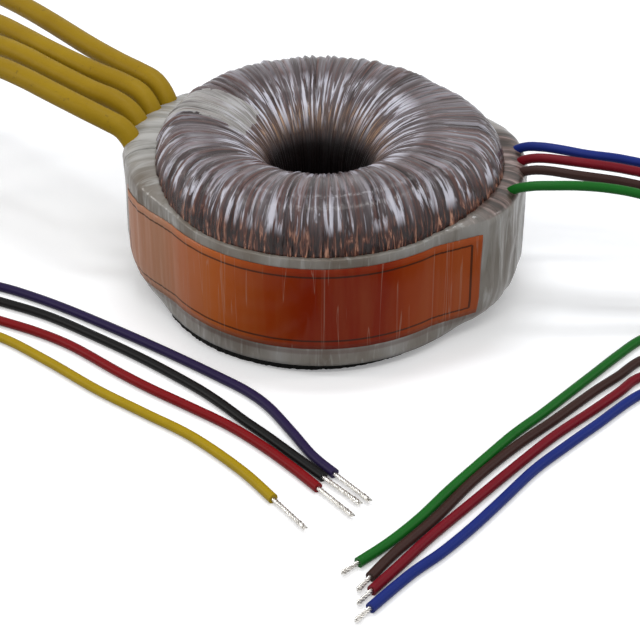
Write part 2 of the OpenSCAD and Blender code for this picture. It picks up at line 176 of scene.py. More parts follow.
def maths(tree, how, a, b=0.0, c=0.0):
    node = addNode(tree, "Math", {"operation": how})
    for index, value in enumerate((a, b, c)):
        if isinstance(value, bpy.types.NodeSocket):
            tree.links.new(value, node.inputs[index])
        else:
            node.inputs[index].default_value = value
    return node.outputs[0]


def times(tree, a, b):
    return maths(tree, "MULTIPLY", a, b)


def noiseOn(tree, coords, scale, detail=3.0, roughness=0.55, distortion=0.0):
    return addNode(tree, "TexNoise", Vector=coords, Scale=scale, Detail=detail, Roughness=roughness,
                   Distortion=distortion).outputs["Fac"]


def bumpInto(tree, shader, height, strength, distance, socket="Normal"):
    bump = addNode(tree, "Bump", Height=height, Strength=strength, Distance=distance)
    tree.links.new(bump.outputs[0], shader.inputs[socket])
    return bump


# leads and sleeves
routes = {  # points in mm from the joint in the pocket to the end of the insulation
    "violet": [(-54.7, 6.2, 14), (-54.7, 6.2, 20), (-54.7, 6.2, 28), (-54.8, 6.3, 36),
        (-55.9, 7.2, 43), (-59.6, 9.4, 48.4), (-64.8, 11, 51), (-70.5, 13.2, 53), (-82.5, 21.5, 55),
        (-92, 29, 56), (-102, 37, 56), (-113, 44.5, 54.5), (-124, 49.5, 50.5), (-134, 50, 43),
        (-140, 46, 32.5), (-143, 38, 21.5), (-142.5, 28, 11.5), (-138.5, 17.5, 4.5),
        (-130.5, 8, 1.45), (-117, -0.5, 1.45), (-100, -6, 1.45), (-88, -12, 1.45),
        (-76.5, -19, 1.45), (-64, -27.5, 1.45), (-52, -36, 1.45), (-40.5, -44.5, 1.45),
        (-29.5, -53, 1.45), (-21, -60, 1.45), (-14.5, -67.5, 1.45), (-8, -78.5, 1.45),
        (-1.9, -89.5, 1.45), (4, -97, 1.45)],
    "black": [(-53.2, 14.3, 14), (-53.2, 14.3, 20), (-53.2, 14.3, 28), (-53.3, 14.3, 36),
        (-54.2, 15.4, 43), (-57.6, 18.2, 49), (-63.2, 21.4, 52), (-71.2, 26, 53.2),
        (-84.5, 36, 55), (-93, 43, 56), (-103, 51, 56), (-114, 58, 55), (-126, 64, 51),
        (-137, 66.5, 43.5), (-145, 63.5, 33), (-149.5, 55.5, 22), (-151, 45.5, 12.5),
        (-149.5, 34, 5.5), (-145, 22.5, 1.8), (-136.5, 9.5, 1.45), (-121, -4, 1.45),
        (-99, -14, 1.45), (-83, -22, 1.45), (-67, -33, 1.45), (-51.5, -44.7, 1.45),
        (-36.5, -57.5, 1.45), (-28.5, -65.5, 1.45), (-21.5, -73.5, 1.45), (-14.5, -81, 1.45),
        (-7, -89.5, 1.45), (1, -98.5, 1.45)],
    "red": [(-50.5, 22, 14), (-50.5, 22, 20), (-50.5, 22, 28), (-50.6, 22.1, 37),
        (-51.6, 23.4, 45), (-55.4, 27.4, 50.6), (-62, 32, 52.5), (-72.2, 37.8, 54),
        (-86, 48, 55.6), (-95.5, 57, 56), (-106, 67, 56), (-117, 76, 54.5), (-128.5, 82.5, 50),
        (-139.5, 85.5, 42.5), (-148, 83.5, 32.5), (-153.5, 76, 22.5), (-156.5, 65, 13.5),
        (-157, 52, 6.5), (-155.5, 38.5, 2.2), (-151, 23.5, 1.45), (-142.5, 8.5, 1.45),
        (-130.5, -4, 1.45), (-115, -15.5, 1.45), (-97, -24.5, 1.45), (-85, -30.5, 1.45),
        (-73.5, -38, 1.45), (-58.5, -51, 1.45), (-48.5, -59, 1.45), (-37.5, -67, 1.45),
        (-25.5, -76, 1.45), (-15.5, -85.5, 1.45), (-7, -95, 1.45), (-0.5, -103, 1.45)],
    "yellow": [(-46.7, 29.2, 14), (-46.7, 29.2, 20), (-46.7, 29.2, 28), (-46.8, 29.3, 38),
        (-47.8, 30.6, 46.4), (-51.6, 34.8, 51.2), (-57, 39.2, 52.4), (-64, 45, 53),
        (-74, 54.2, 54), (-88, 68.5, 55.5), (-98, 79, 56), (-109, 90, 56), (-120, 99, 54.5),
        (-132, 105, 50), (-143, 107, 42.5), (-152, 104, 33), (-158, 96, 23.5), (-162, 84.5, 15),
        (-164, 70.5, 8), (-164.5, 55, 3), (-163, 39, 1.45), (-158.5, 22, 1.45), (-150.5, 6, 1.45),
        (-140, -8, 1.45), (-126.5, -19, 1.45), (-111, -27, 1.45), (-96, -33, 1.45),
        (-80.5, -45, 1.45), (-64.5, -59, 1.45), (-50, -70, 1.45), (-35.5, -81, 1.45),
        (-21.5, -95.5, 1.45), (-12.5, -107.5, 1.45)],
    "blue": [(53.2, 5.6, 14), (53.2, 5.6, 22), (53.5, 5.5, 30), (55, 5.1, 37),
        (57.4, 4.4, 42.6), (61.2, 3, 46), (66, 1.4, 47.1), (72, -0.6, 47.3), (80, -2.4, 46.6),
        (91, -2.6, 45), (103, -3.4, 42), (115, -6, 36.5), (126, -11, 28), (134, -18, 18.5),
        (138.5, -27, 9.5), (138.5, -37, 3.5), (134, -46, 1.45), (125, -52, 1.45),
        (113, -55.5, 1.45), (102, -58, 1.45), (92, -61.5, 1.45), (77.3, -76, 1.45),
        (67.8, -85.5, 1.45), (58.3, -95.5, 1.45), (48.8, -107.8, 1.45), (40, -119, 1.45),
        (31.5, -128.7, 1.45), (23, -137, 1.45), (12.5, -149.3, 1.45)],
    "crimson": [(53.5, -0.6, 14), (53.5, -0.6, 22), (54.3, -0.7, 31), (56.6, -0.9, 38),
        (59.6, -1.5, 43.2), (63.5, -2.7, 45.4), (68.5, -4, 46.1), (77, -6, 46),
        (90.5, -7.2, 44.4), (102, -8.5, 42), (114.5, -11, 37.5), (125, -15, 30),
        (131, -21, 20.5), (132, -29, 11.5), (128, -37.5, 5), (120, -44, 1.8), (108, -48, 1.45),
        (93.5, -53, 1.45), (86, -60.5, 1.45), (78, -68.5, 1.45), (65, -81, 1.45),
        (53, -94.5, 1.45), (41, -108.5, 1.45), (29, -122.5, 1.45), (20.5, -133.5, 1.45),
        (13, -143, 1.45)],
    "brown": [(53, -7.4, 14), (53, -7.4, 22), (53.8, -7.1, 31), (55.8, -6.4, 38),
        (58.9, -6.2, 42), (63, -6.9, 43.8), (68, -8, 44.3), (76.5, -9.8, 43.8), (90, -10.6, 42),
        (101, -11.5, 39.3), (113, -14, 34), (121.5, -18, 26), (124.5, -23.5, 17),
        (122.5, -30, 8.5), (116, -35.5, 3), (106, -39.5, 1.45), (94.5, -45, 1.45),
        (87, -52.5, 1.45), (79, -60, 1.45), (66, -73.5, 1.45), (54, -85.5, 1.45),
        (41.5, -100, 1.45), (30, -116, 1.45), (19, -129.3, 1.45), (12.8, -138, 1.45)],
    "green": [(51.2, -15.6, 14), (51.2, -15.6, 22), (51.7, -15.7, 31), (53, -16.4, 38.6),
        (56.4, -17.8, 43.4), (61.5, -19.2, 45.6), (68, -20, 46.3), (76, -19.6, 46),
        (84.5, -19.3, 45), (94, -19.4, 43), (104, -20.5, 39.5), (112.5, -22.5, 33),
        (117, -25, 24), (116.5, -27, 14.5), (111.5, -28.5, 7), (104.5, -30.5, 2.8),
        (96, -34.5, 1.45), (88, -42.5, 1.45), (80, -51.5, 1.45), (71.5, -61, 1.45),
        (63, -70.5, 1.45), (54, -80, 1.45), (45, -91, 1.45), (35, -103.6, 1.45),
        (26.3, -115.4, 1.45), (18, -124.9, 1.45), (9.8, -132.6, 1.45)],
}
leads = {
    "diameter": 2.9,
    "sleeveDiameter": 6.6,
    "sleeveBore": 3.6,
    "sleeveFirst": 1,  # route points that a sleeve starts and ends at
    "sleeveLast": 11,
    "primary": ("violet", "black", "red", "yellow"),
    "strip": {"primary": 15, "secondary": 6},  # bare length
    "strands": 7,
    "strandRadius": 0.22,
    "strandsInside": 0.3,  # how far the strands start inside the insulation
    "twistPitch": 7.0,
    "colors": {
        "violet": (0.019, 0.011, 0.05), "black": (0.006, 0.006, 0.006), "red": (0.19, 0.004, 0.006),
        "yellow": (0.36, 0.24, 0.005), "blue": (0.009, 0.022, 0.165), "crimson": (0.155, 0.004, 0.011),
        "brown": (0.038, 0.016, 0.013), "green": (0.007, 0.11, 0.011)},
}


def insulationMaterial(name, color):
    mat, tree, shader = newMaterial(name, Roughness=0.42, Specular_IOR_Level=0.12)
    place = addNode(tree, "TexCoord").outputs["Object"]
    cloudy = noiseOn(tree, place, 180, 2)
    dust = noiseOn(tree, place, 2600, 2)
    shade = mixColor(tree, cloudy, tuple(v * 0.86 for v in color), tuple(min(1, v * 1.12) for v in color))
    speck = ramp(tree, dust, (0.66, (0, 0, 0)), (0.74, (1, 1, 1)))
    pale = tuple(v * 0.8 + 0.02 for v in color)
    tree.links.new(mixColor(tree, speck, shade, pale), shader.inputs["Base Color"])
    bumpInto(tree, shader, noiseOn(tree, place, 900, 3), 0.12, 0.0002)
    return mat


def sleeveMaterial():
    mat, tree, shader = newMaterial("yellowSleeving", Roughness=0.5, Specular_IOR_Level=0.12)
    place = addNode(tree, "TexCoord").outputs["Object"]
    tone = noiseOn(tree, place, 60, 3)
    shade = mixColor(tree, tone, (0.225, 0.13, 0.002), (0.33, 0.21, 0.008))
    dirt = ramp(tree, noiseOn(tree, place, 420, 4, 0.7), (0.62, (0, 0, 0)), (0.72, (1, 1, 1)))
    shade = mixColor(tree, maths(tree, "MULTIPLY", dirt, 0.55), shade, (0.13, 0.085, 0.012))
    tree.links.new(shade, shader.inputs["Base Color"])
    bumpInto(tree, shader, noiseOn(tree, place, 700, 4), 0.25, 0.0004)
    return mat


def strandMaterial():
    mat, tree, shader = newMaterial("tinnedStrand", Metallic=1.0, Roughness=0.28)
    place = addNode(tree, "TexCoord").outputs["Object"]
    tin = ramp(tree, noiseOn(tree, place, 900, 3), (0.3, (0.42, 0.40, 0.37)), (0.7, (0.82, 0.8, 0.76)))
    tree.links.new(tin, shader.inputs["Base Color"])
    bumpInto(tree, shader, noiseOn(tree, place, 2500, 2), 0.2, 0.0001)
    return mat


def addStrands(name, start, direction, length, twist):  # bare twisted strands, joined in one curve
    side = Vector((0, 0, 1)).cross(direction).normalized()
    up = direction.cross(side)
    curve = bpy.data.curves.new(name, "CURVE")
    curve.dimensions = "3D"
    curve.bevel_depth = leads["strandRadius"] * mm
    curve.bevel_resolution = 2
    curve.use_fill_caps = True
    steps = int(length * 3)
    for k in range(leads["strands"]):
        ringRadius = 0 if k == 0 else 2 * leads["strandRadius"] * 0.98
        phase = math.tau * k / (leads["strands"] - 1)
        spline = curve.splines.new("POLY")
        spline.points.add(steps)
        reach = length * (1 - 0.05 * ((k * 37) % 5) / 5)
        for i, point in enumerate(spline.points):
            along = reach * i / steps
            turn = phase + math.tau * along / twist
            spread = ringRadius * (1 + 0.25 * (i / steps) ** 3 * ((k * 13) % 3))
            aside = side * spread * math.cos(turn) + up * spread * math.sin(turn)
            point.co = (*((start + direction * (along - leads["strandsInside"]) + aside) * mm), 1)
    return addObject(name, curve)


def addLeads():
    strands = strandMaterial()
    sleeving = sleeveMaterial()
    for color, points in routes.items():
        route = smoothRoute(points, 1.6)
        primary = color in leads["primary"]
        wire = addTube("wire_" + color, route, leads["diameter"] / 2, 5)
        wire.data.materials.append(insulationMaterial(color + "Insulation", leads["colors"][color]))
        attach(wire, "root")
        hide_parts("lead_" + color)
        end = addStrands("strands_" + color, route[-1], (route[-1] - route[-2]).normalized(),
                         leads["strip"]["primary" if primary else "secondary"], leads["twistPitch"])
        end.data.materials.append(strands)
        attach(end, "root")
        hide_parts("end_" + color)
        if primary:
            stretch = smoothRoute(points[leads["sleeveFirst"]:leads["sleeveLast"] + 1], 1.6)
            outside = addTube("sleeving_" + color, stretch, leads["sleeveDiameter"] / 2, 6, False)
            sleeve = curveAsMesh(outside)
            solidified(sleeve, (leads["sleeveDiameter"] - leads["sleeveBore"]) / 2)
            sleeve.data.materials.append(sleeving)
            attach(sleeve, "root")
            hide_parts("sleeve_" + color)
    print("leads done")


addLeads()

# shapes round the ring


def ringPoint(r, turn, z):  # turn in radians
    return Vector((r * math.cos(turn), r * math.sin(turn), z)) * mm


def setUV(bm, place):
    layer = bm.loops.layers.uv.new("UVMap")
    for face in bm.faces:
        for loop in face.loops:
            loop[layer].uv = place[loop.vert]


def hump(a, spot):  # from 0 to 1 across a spot, by turn angle in degrees
    d = abs((a - spot["turn"] + 540) % 360 - 180)
    return math.cos(math.pi / 2 * d / spot["span"]) ** spot["power"] if d < spot["span"] else 0


def lookup(table, x):
    for (x0, y0), (x1, y1) in zip(table, table[1:]):
        if x <= x1:
            return y0 + (y1 - y0) * max(0, x - x0) / (x1 - x0)
    return table[-1][1]


def smoothLookup(table, x, reach):
    return sum(lookup(table, x + reach * k / 3) for k in range(-3, 4)) / 7


# film wrap over the winding
film = {
    "radius": 49.75, "throat": 13.0, "top": 56.65, "foot": 3.02,  # outer skin without pleats
    "crown": (10, 16), "lip": (25, 25), "corner": 4,
    # where the winding's tails leave under the film, and the height at which the swell begins
    "tails": {"turn": -8, "span": 42, "bulge": 5.5, "power": 1}, "swellFrom": 36, "swellOver": 6,
    "pleats": 92, "pleatHeight": 0.85, "pleatWidths": (0.6, 1.4), "pleatHeights": (0.35, 1), "crest": 0.7,
    "gatherFrom": 38, "gatherOver": 8,  # height at which the pleats begin, and over which they grow
    "throatGather": 0.3, "wallGather": 0.12, "fibre": 0.26, "sway": 0.006, "lean": 5,
    "columns": 1104, "rows": 76, "seed": 11,
}


def quarter(cx, cz, w, h, start, n):  # quarter of an ellipse, from a start angle
    angles = [math.radians(start + 90 * i / n) for i in range(n + 1)]
    return [(cx + w * math.cos(t), cz + h * math.sin(t)) for t in angles]


def wrapOutline(wrap):  # closed section, from the side over the crown into the throat and under
    corner = wrap["corner"]
    (crownWide, crownTall), (lipWide, lipTall) = wrap["crown"], wrap["lip"]
    side, throat, top = wrap["radius"], wrap["throat"], wrap["top"]
    low = wrap["foot"] + corner
    outline = quarter(side - crownWide, top - crownTall, crownWide, crownTall, 0, 16)
    outline += quarter(throat + lipWide, top - lipTall, lipWide, lipTall, 90, 20)
    outline += quarter(throat + corner, low, corner, corner, 180, 5)
    outline += quarter(side - corner, low, corner, corner, 270, 5)
    return outline


def filmRadius(a, z):  # outside of the crown, by turn angle in degrees and height
    width, height = film["crown"]
    tall = min(1, max(0.0, z - film["top"] + height) / height)
    swell = max(0.0, min(1.0, (z - film["swellFrom"]) / film["swellOver"])) * film["tails"]["bulge"]
    return film["radius"] - width * (1 - math.sqrt(1 - tall ** 2)) + swell * hump(a, film["tails"])


def evenly(outline, count):  # points at even steps along a closed outline, with outward normals
    pairs = list(zip(outline, outline[1:] + outline[:1]))
    lengths = [math.dist(a, b) for a, b in pairs]
    total, out = sum(lengths), []
    at, done = 0, 0.0
    for i in range(count):
        want = total * i / count
        while done + lengths[at] < want:
            done += lengths[at]
            at += 1
        (r0, z0), (r1, z1) = pairs[at]
        size = lengths[at] or 1
        t = (want - done) / size
        out.append((r0 + (r1 - r0) * t, z0 + (z1 - z0) * t, (z1 - z0) / size, -(r1 - r0) / size))
    return out


def pleatTable():  # start, width and height of each pleat, in shares of the full turn
    rng = random.Random(film["seed"])
    widths = [rng.uniform(*film["pleatWidths"]) for _ in range(film["pleats"])]
    heights = [rng.uniform(*film["pleatHeights"]) for _ in range(film["pleats"])]
    total, start, table = sum(widths), 0, []
    for width, height in zip(widths, heights):
        table.append((start, width / total, height))
        start += width / total
    return table


def pleatAt(table, turn):  # fold height from 0 to 1 at a share of the full turn
    turn %= 1
    crest = film["crest"]
    for start, width, height in table:
        if turn < start + width:
            t = (turn - start) / width
            if t < crest:
                return height * math.sin(t / crest * math.pi / 2)
            return height * math.cos((t - crest) / (1 - crest) * math.pi / 2) ** 2
    return 0


def gatherAt(z, nr, inward):  # how strongly the film gathers: on the crown, less at the throat and side
    if z < 8 or (nr > 0.95 and z < 40):
        return film["wallGather"] if nr > 0.9 else 0
    if nr < -0.5:
        return film["throatGather"]
    return max(0.0, min(1.0, (z - film["gatherFrom"]) / film["gatherOver"])) * (1 - 0.75 * inward ** 2)


def addFilm():
    section = evenly(wrapOutline(film), film["rows"])
    table = pleatTable()
    bm = bmesh.new()
    bmesh.ops.create_grid(bm, x_segments=film["columns"], y_segments=film["rows"], size=0.5)
    place = {}
    for v in bm.verts:
        u, s = v.co.x + 0.5, v.co.y + 0.5
        place[v] = (u, s)
        r, z, nr, nz = section[round(s * film["rows"]) % film["rows"]]
        inward = (film["radius"] - r) / (film["radius"] - film["throat"])
        gather = gatherAt(z, nr, inward)
        lift = film["pleatHeight"] * gather * pleatAt(table, u)
        lift += film["fibre"] * gather * noise.noise(Vector((u * 260, s * 9, 0)))
        turn = math.tau * u + math.radians(film["lean"]) * inward ** 2
        turn += gather * film["sway"] * noise.noise(Vector((u * 40, s * 14, 4)))
        swell = filmRadius(math.degrees(turn), z) - filmRadius(180, z) if nr > 0 else 0
        v.co = ringPoint(r + nr * lift + swell, turn, z + nz * lift)
    setUV(bm, place)
    bmesh.ops.remove_doubles(bm, verts=bm.verts, dist=0.00002)
    bmesh.ops.recalc_face_normals(bm, faces=bm.faces)
    return meshObject("pleatedFilm", bm)


def filmMaterial():  # V of the UV map runs from the rim over the crown, into the throat and back below
    mat, tree, shader = newMaterial("pleatedFilm", Roughness=0.35, Specular_IOR_Level=0.06, Coat_Weight=0.7,
                                    Coat_Roughness=0.09, Coat_IOR=1.45)
    uv = addNode(tree, "UVMap").outputs["UV"]
    across = addNode(tree, "SeparateXYZ", Vector=uv).outputs[1]

    def streaks(count, along, detail, distortion=0.3):
        scaled = addNode(tree, "Mapping", Vector=uv, Scale=(count, along, 1)).outputs[0]
        return noiseOn(tree, scaled, 1.0, detail, 0.6, distortion)
    wires, bands, fine = streaks(420, 5, 3), streaks(110, 4, 3, 0.2), streaks(900, 14, 2)
    shade = ramp(tree, bands, (0.33, (0.018, 0.011, 0.011)), (0.5, (0.074, 0.058, 0.061)),
                 (0.68, (0.165, 0.147, 0.156)))
    lines = mask(tree, wires, (0.5, 0), (0.6, 1))
    shade = mixColor(tree, times(tree, lines, 0.5), shade, (0.14, 0.05, 0.036))
    # painted shade on the film's outer rim beside the tape's top edge, with painted copper glints
    edge = mask(tree, across, (0.0, 1), (0.03, 0.95), (0.05, 0.45), (0.07, 0), (0.97, 0), (0.985, 1))
    paintedGlints = ramp(tree, streaks(300, 22, 3, 0.8), (0.47, (0.012, 0.003, 0.002)),
                  (0.57, (0.10, 0.028, 0.015)), (0.68, (0.55, 0.27, 0.17)))
    shade = mixColor(tree, edge, shade, paintedGlints)
    # copper wires where the lip turns down into the throat, with painted glints
    throat = mask(tree, across, (0.235, 0), (0.262, 1), (0.295, 1), (0.315, 0))
    copperWithPaintedGlints = ramp(tree, streaks(240, 16, 3, 0.8), (0.42, (0.035, 0.018, 0.014)), (0.56, (0.16, 0.09, 0.06)),
                  (0.68, (0.6, 0.36, 0.2)))
    shade = mixColor(tree, times(tree, throat, 0.7), shade, copperWithPaintedGlints)
    # painted shade deep inside the throat
    deep = mask(tree, across, (0.275, 0), (0.325, 1), (0.55, 1), (0.62, 0))
    shade = mixColor(tree, times(tree, deep, 0.95), shade, (0.004, 0.003, 0.003))
    # painted highlight streaks where the film gathers on the crown and over the lip
    milky = mask(tree, streaks(150, 9, 4, 0.5), (0.505, 0), (0.585, 1))
    paintedHighlightZone = mask(tree, across, (0.038, 0), (0.058, 1), (0.085, 0.85), (0.115, 0.3), (0.17, 0.06),
                (0.2, 0.84), (0.25, 1), (0.3, 0))
    shade = mixColor(tree, times(tree, milky, paintedHighlightZone), shade, (0.6, 0.59, 0.66))
    shade = mixColor(tree, exitStripMask(tree, fine), shade, (0.40, 0.39, 0.365))
    tree.links.new(shade, shader.inputs["Base Color"])
    bumpInto(tree, shader, wires, 0.5, 0.0005)
    bumpInto(tree, shader, maths(tree, "MULTIPLY_ADD", fine, 0.4, bands), 0.7, 0.0012, "Coat Normal")
    return mat


exitStrip = {"turn": 161, "halfWidth": 0.0075, "inner": 0.022, "ragged": 0.002}  # in metres


def exitStripMask(tree, fibres):  # white strip under the film, from the primary exits to the throat
    place = addNode(tree, "TexCoord").outputs["Object"]
    turned = addNode(tree, "VectorRotate", {"rotation_type": "Z_AXIS"}, Vector=place,
                     Angle=-math.radians(exitStrip["turn"])).outputs[0]
    parts = addNode(tree, "SeparateXYZ", Vector=turned)
    rough = exitStrip["ragged"]
    ragged = maths(tree, "MULTIPLY_ADD", noiseOn(tree, place, 400, 4), 2 * rough, -rough)
    aside = maths(tree, "ADD", maths(tree, "ABSOLUTE", parts.outputs[1]), ragged)
    along = maths(tree, "ADD", parts.outputs[0], ragged)
    strip = times(tree, maths(tree, "LESS_THAN", aside, exitStrip["halfWidth"]),
                  maths(tree, "GREATER_THAN", along, exitStrip["inner"]))
    return times(tree, strip, mask(tree, fibres, (0.35, 0.25), (0.6, 0.85)))


pleated = addFilm()
pleated.data.materials.append(filmMaterial())
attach(pleated, "root")
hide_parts("film_wrap", "exit_strip")

# copper under the film
winding = {
    "radius": 48.6, "throat": 13.8, "top": 55.5, "foot": 3.5,
    "crown": (9.6, 15.6), "lip": (24.4, 24.4), "corner": 3.6, "steps": 180,
}


def copperMaterial():
    mat, tree, shader = newMaterial("enamelledCopper", Metallic=0.7, Roughness=0.35, Coat_Weight=0.4)
    place = addNode(tree, "TexCoord").outputs["Object"]
    copper = ramp(tree, noiseOn(tree, place, 1200, 3), (0.3, (0.25, 0.08, 0.04)), (0.7, (0.6, 0.27, 0.14)))
    tree.links.new(copper, shader.inputs["Base Color"])
    return mat


def addWinding():
    bm = bmesh.new()
    ring = [bm.verts.new((r * mm, 0, z * mm)) for r, z in wrapOutline(winding)]
    edges = [bm.edges.new(pair) for pair in zip(ring, ring[1:] + ring[:1])]
    bmesh.ops.spin(bm, geom=ring + edges, cent=(0, 0, 0), axis=(0, 0, 1), angle=math.tau,
                   steps=winding["steps"], use_merge=True)
    bmesh.ops.remove_doubles(bm, verts=bm.verts, dist=0.00001)
    bmesh.ops.recalc_face_normals(bm, faces=bm.faces)
    return meshObject("woundCopper", bm)


wound = addWinding()
wound.data.materials.append(copperMaterial())
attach(wound, "root")
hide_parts("secondary_winding")
print("film and winding done")

# milky tape round the side, with its pockets over the leads
band = {
    "radius": 50.325, "thickness": 0.6, "sheet": 0.3, "lower": 3.8, "upper": 41.3,
    "pockets": (
        {"turn": 163, "span": 42, "bulge": 8.8, "power": 0.5},
        {"turn": -3, "span": 40, "bulge": 11.4, "power": 0.5}),
    "filled": ((0, 0), (0.06, 0.6), (0.16, 0.88), (0.3, 1), (1, 1)),  # share of the bulge, by height
    "crease": (0.6, 9),  # depth and number of the broad creases
    "foldDepth": 0.75, "foldCount": 46,
    # by turn angle: height of the upper edge over the plain one, and rise of the film towards the crown
    "rise": ((-180, 2), (-166, 1), (-150, 0), (-130, -1.2), (-55, -1.2), (-40, 0), (-25, 0.3), (30, 0.3),
             (48, 0), (112, 0), (126, 0.8), (142, 3), (168, 3.2), (180, 2)),
    "closing": ((-180, 0.45), (-25, 0.4), (0, 0.5), (8, 0.75), (22, 0.75), (34, 0.5), (180, 0.45)),
    "soften": 7,  # turn angle over which a pocket's edge is smoothed
    "tuck": 0.4,  # how far the film's inner edge reaches into the crown
    "columns": 720, "wallRows": 30, "shoulderRows": 10,
}


def bandTop(a):
    return band["upper"] + smoothLookup(band["rise"], a, 3)


def bandFace(a, share):  # inner face of the tape, by turn angle and share of the height
    near = [a + band["soften"] * k / 3 for k in range(-3, 4)]
    swell = sum(hump(b, p) * p["bulge"] for p in band["pockets"] for b in near) / len(near)
    depth, count = band["crease"]
    deep = max(hump(a, p) ** 2 for p in band["pockets"]) * depth * math.sin(math.radians(a * count))
    return band["radius"] + swell * smoothLookup(band["filled"], share, 0.03) + deep


def foldAt(a, share):  # vertical folds of the tape, deepest over the pockets
    pocket = max(hump(a, p) ** 2 for p in band["pockets"])
    spot = Vector((math.cos(math.radians(a)), math.sin(math.radians(a)), 0)) * band["foldCount"] / 6
    value = noise.noise(spot + Vector((0, 0, share * 0.9)))
    value += 0.5 * noise.noise(spot * 2.6 + Vector((5, 3, share * 1.7)))
    return band["foldDepth"] * (0.12 + 0.88 * pocket) * (1 - 2 * abs(value)) * min(1, 0.15 + 3 * share)


def wallPoint(a, row):  # radius and height on the upright wall
    share = row / band["wallRows"]
    z = band["lower"] + share * (bandTop(a) - band["lower"])
    return bandFace(a, share) + band["thickness"] + foldAt(a, share) * (0.3 if share > 0.97 else 1), z


def shoulderPoint(a, row):  # radius and height on the film that closes a pocket towards the crown
    t = (row - band["wallRows"]) / band["shoulderRows"] * math.pi / 2
    top, rim = bandTop(a), bandFace(a, 1) + band["thickness"]
    rising = lookup(band["closing"], a) * max(0.3, rim - filmRadius(a, top + 2))
    goal = filmRadius(a, top + rising) - band["tuck"]
    return (goal + (rim - goal) * math.cos(t),
            top + rising * math.sin(t) + 0.5 * math.sin(2 * t) * foldAt(a, 1))


def addBand():
    rows = band["wallRows"] + band["shoulderRows"]
    bm = bmesh.new()
    bmesh.ops.create_grid(bm, x_segments=band["columns"], y_segments=rows, size=0.5)
    place = {}
    for v in bm.verts:
        u, row = v.co.x + 0.5, round((v.co.y + 0.5) * rows)
        place[v] = (u, row / rows)
        a = u * 360 - 180
        r, z = wallPoint(a, row) if row <= band["wallRows"] else shoulderPoint(a, row)
        v.co = ringPoint(r, math.radians(a), z)
    setUV(bm, place)
    bmesh.ops.remove_doubles(bm, verts=bm.verts, dist=0.00002)
    bmesh.ops.recalc_face_normals(bm, faces=bm.faces)
    if max(bm.faces, key=lambda face: face.calc_center_median().y).normal.y < 0:
        bmesh.ops.reverse_faces(bm, faces=bm.faces)
    return solidified(meshObject("milkyBand", bm), band["sheet"])


def bandMaterial():  # U of the UV map runs round the ring from -180 degrees, V from the foot to the crown
    mat, tree, shader = newMaterial("milkyTape", Roughness=0.4, Specular_IOR_Level=0.25, Coat_Weight=0.4,
                                    Coat_Roughness=0.16)
    uv = addNode(tree, "UVMap").outputs["UV"]
    around, upward = addNode(tree, "SeparateXYZ", Vector=uv).outputs[:2]
    tall = addNode(tree, "Mapping", Vector=uv, Scale=(150, 2.5, 1)).outputs[0]
    broad = addNode(tree, "Mapping", Vector=uv, Scale=(26, 2, 1)).outputs[0]
    folds = noiseOn(tree, tall, 1.0, 3, 0.55, 0.6)
    clouds = noiseOn(tree, broad, 1.0, 3, 0.5, 0.4)
    shade = ramp(tree, clouds, (0.32, (0.125, 0.10, 0.075)), (0.52, (0.19, 0.17, 0.145)),
                 (0.72, (0.28, 0.27, 0.25)))
    # painted highlight on the fold crests and painted shade in the fold troughs
    pale = mask(tree, folds, (0.56, 0), (0.7, 1))
    paintedFoldShade = mask(tree, folds, (0.3, 1), (0.42, 0))
    shade = mixColor(tree, times(tree, pale, 0.5), shade, (0.42, 0.42, 0.40))
    shade = mixColor(tree, times(tree, paintedFoldShade, 0.4), shade, (0.085, 0.07, 0.04))
    # the clear film over the copper tails, where the secondary leads come out
    inner = mask(tree, upward, (0.76, 0), (0.80, 1))
    tails = times(tree, mask(tree, around, (0.385, 0), (0.42, 1), (0.525, 1), (0.545, 0)), inner)
    copper = ramp(tree, folds, (0.38, (0.02, 0.011, 0.008)), (0.52, (0.10, 0.06, 0.05)),
                  (0.64, (0.3, 0.22, 0.2)))
    shade = mixColor(tree, times(tree, tails, 0.9), shade, copper)
    # whitish insulation under the film behind the sleeves, and the brown edge under the label
    behind = times(tree, mask(tree, around, (0.0, 1), (0.04, 0), (0.87, 0), (0.90, 1)), inner)
    fibrous = ramp(tree, folds, (0.4, (0.24, 0.235, 0.215)), (0.6, (0.42, 0.41, 0.39)))
    shade = mixColor(tree, times(tree, behind, 0.8), shade, fibrous)
    line = mask(tree, upward, (0.08, 0), (0.09, 1), (0.108, 1), (0.118, 0))
    shade = mixColor(tree, times(tree, line, 0.5), shade, (0.09, 0.045, 0.036))
    tree.links.new(shade, shader.inputs["Base Color"])
    bumpInto(tree, shader, folds, 0.5, 0.0006)
    return mat


milky = addBand()
milky.data.materials.append(bandMaterial())
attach(milky, "root")
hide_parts("side_band")

# label under the last turn of clear film
label = {
    "start": 184, "turn": 141, "lower": 10.0, "height": 27.5, "over": 0.25, "thickness": 0.15,
    "columns": 300, "rows": 14,
    "rule": (0.02, 0.012, 0.008), "ruleInset": (0.02, 0.1), "ruleWidth": (0.0022, 0.011),
    # colour along the label's length, with painted light: darker in the middle, paler and hazier towards
    # the ends
    "toneWithPaintedLight": ((0.0, (0.46, 0.23, 0.15)), (0.16, (0.40, 0.20, 0.12)), (0.24, (0.43, 0.15, 0.07)),
              (0.35, (0.41, 0.10, 0.02)), (0.49, (0.26, 0.034, 0.003)), (0.58, (0.20, 0.014, 0.0005)),
              (0.76, (0.20, 0.014, 0.0005)), (0.82, (0.27, 0.036, 0.003)), (0.96, (0.33, 0.065, 0.015))),
}


